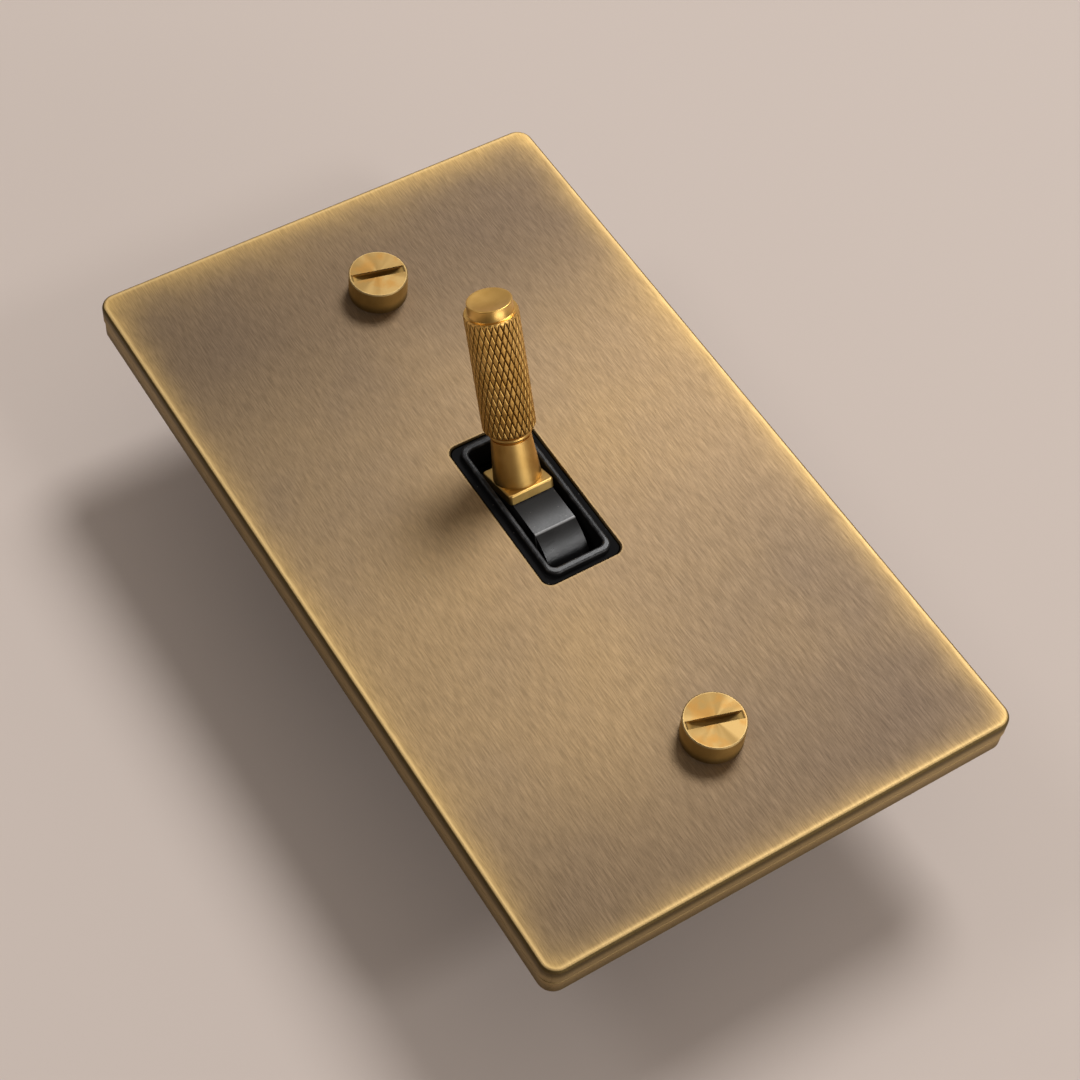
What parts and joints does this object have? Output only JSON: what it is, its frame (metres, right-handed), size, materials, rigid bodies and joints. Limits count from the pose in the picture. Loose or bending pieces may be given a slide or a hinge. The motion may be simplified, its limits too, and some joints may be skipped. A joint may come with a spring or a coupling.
{
  "type": "wall toggle switch",
  "caption": "Thick antique brass wall plate with tall slotted fixing screws and a knurled brass toggle dolly in a black collar, with its snap mechanism behind.",
  "frame": {"origin": "middle of the wall plane, which is the back face of the backing frame", "axes": "+Z out of the wall, +Y along the plate towards the end the dolly leans to at rest, +X across the plate"},
  "size_m": [0.07, 0.1186, 0.0543],
  "materials": {
    "antique_brass": "brushed, antiqued",
    "gold_brass": "satin",
    "contact_brass": "plain",
    "black_plastic": "satin",
    "plated_steel": "zinc plated",
    "bright_steel": "bright",
    "silver": "silver alloy",
    "nylon": "natural",
    "fibre": "vulcanised fibre",
    "green_screw": "green dyed zinc"
  },
  "bodies": {
    "switch_body": {"face_plate": "antique_brass", "backing_frame": "antique_brass", "plate_screws": "gold_brass", "screw_retainers": "fibre", "strap": "plated_steel", "ground_screw": "green_screw", "switch_cover": "black_plastic", "pivot_pin": "bright_steel", "switch_base": "black_plastic", "housing_screws": "plated_steel", "fixed_buttons": "silver", "upper_terminal": "contact_brass", "lower_terminal": "contact_brass", "common_terminal": "contact_brass", "terminal_screws": "contact_brass"},
    "dolly": {"rocker": "black_plastic", "dolly_foot": "gold_brass", "dolly_stud": "bright_steel", "knurled_grip": "gold_brass", "detent_spring": "bright_steel"},
    "plunger_body": {"plunger": "nylon"},
    "seesaw": {"moving_contact": "contact_brass", "moving_buttons": "silver"}
  },
  "joints": [
    {"name": "dolly_throw", "type": "hinge", "parent": "switch_body", "child": "dolly", "pos_m": [0, 0, -0.0063], "axis": [1, 0, 0], "range_deg": [0, 40]},
    {"name": "plunger_press", "type": "slide", "parent": "dolly", "child": "plunger_body", "axis": [0, 0.342, 0.9397], "range_m": [0, 0.0008], "stiffness_N_per_m": 300, "springref_m": -0.003, "deforming": ["detent_spring"]},
    {"name": "contact_tilt", "type": "hinge", "parent": "switch_body", "child": "seesaw", "pos_m": [0, 0, -0.01748], "axis": [1, 0, 0], "range_deg": [-16, 0]}
  ],
  "couplings": [
    {"joint": "contact_tilt", "follows": "dolly_throw", "ratio": -0.4}
  ]
}
